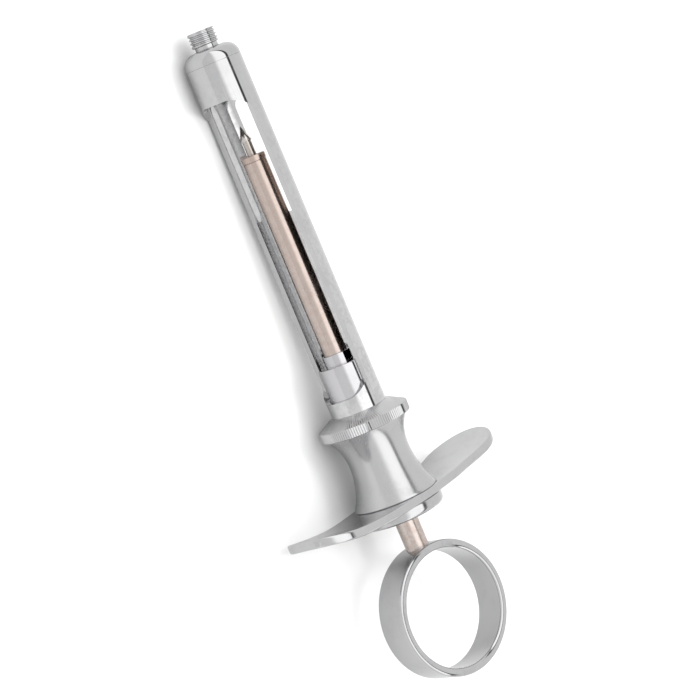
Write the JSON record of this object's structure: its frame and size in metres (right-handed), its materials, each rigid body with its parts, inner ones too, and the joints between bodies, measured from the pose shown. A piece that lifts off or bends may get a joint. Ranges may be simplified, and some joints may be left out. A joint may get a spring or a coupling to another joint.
{
  "type": "aspirating dental syringe",
  "caption": "Aspirating dental cartridge syringe: windowed barrel with a threaded needle stub, waisted hub with finger wings, and a harpoon piston with a thumb ring.",
  "frame": {"origin": "on the syringe's axis, in the plane of the nose's end face, inside the needle passage", "axes": "+X along the syringe from the needle end back to the thumb ring; the two finger wings lie along Y; +Z is square to the wings"},
  "size_m": [0.1449, 0.0642, 0.0196],
  "materials": {
    "barrel_metal": "polished plate",
    "adaptor_metal": "polished plate",
    "collar_metal": "knurled, polished plate",
    "grip_metal": "polished plate",
    "bearing_metal": "polished plate",
    "rod_metal": "fine drawn, warm",
    "harpoon_metal": "turned",
    "thumb_ring_metal": "polished plate",
    "ring_rubber": "matt"
  },
  "bodies": {
    "handle": {"grip_hub": "grip_metal", "finger_grip": "grip_metal", "flange_nut": "grip_metal", "guide_bearing": "bearing_metal"},
    "barrel": {"barrel_tube": "barrel_metal", "barrel_nose": "barrel_metal", "barrel_collar": "collar_metal"},
    "adaptor": {"needle_adaptor": "adaptor_metal"},
    "drag_ring": {"friction_ring": "ring_rubber"},
    "piston": {"piston_rod": "rod_metal", "piston_head": "rod_metal", "harpoon": "harpoon_metal", "thumb_ring": "thumb_ring_metal"}
  },
  "joints": [
    {"name": "barrel_unscrew", "type": "hinge", "parent": "handle", "child": "barrel", "pos_m": [0.0844, 0, 0], "axis": [-1, 0, 0], "range_deg": [0, 90]},
    {"name": "adaptor_unscrew", "type": "hinge", "parent": "barrel", "child": "adaptor", "pos_m": [0, 0, 0], "axis": [-1, 0, 0], "range_deg": [0, 90]},
    {"name": "piston_spin", "type": "hinge", "parent": "handle", "child": "drag_ring", "pos_m": [0.07975, 0, 0], "axis": [1, 0, 0], "continuous": true},
    {"name": "piston_slide", "type": "slide", "parent": "drag_ring", "child": "piston", "axis": [1, 0, 0], "range_m": [-0.007, 0.0507]}
  ]
}
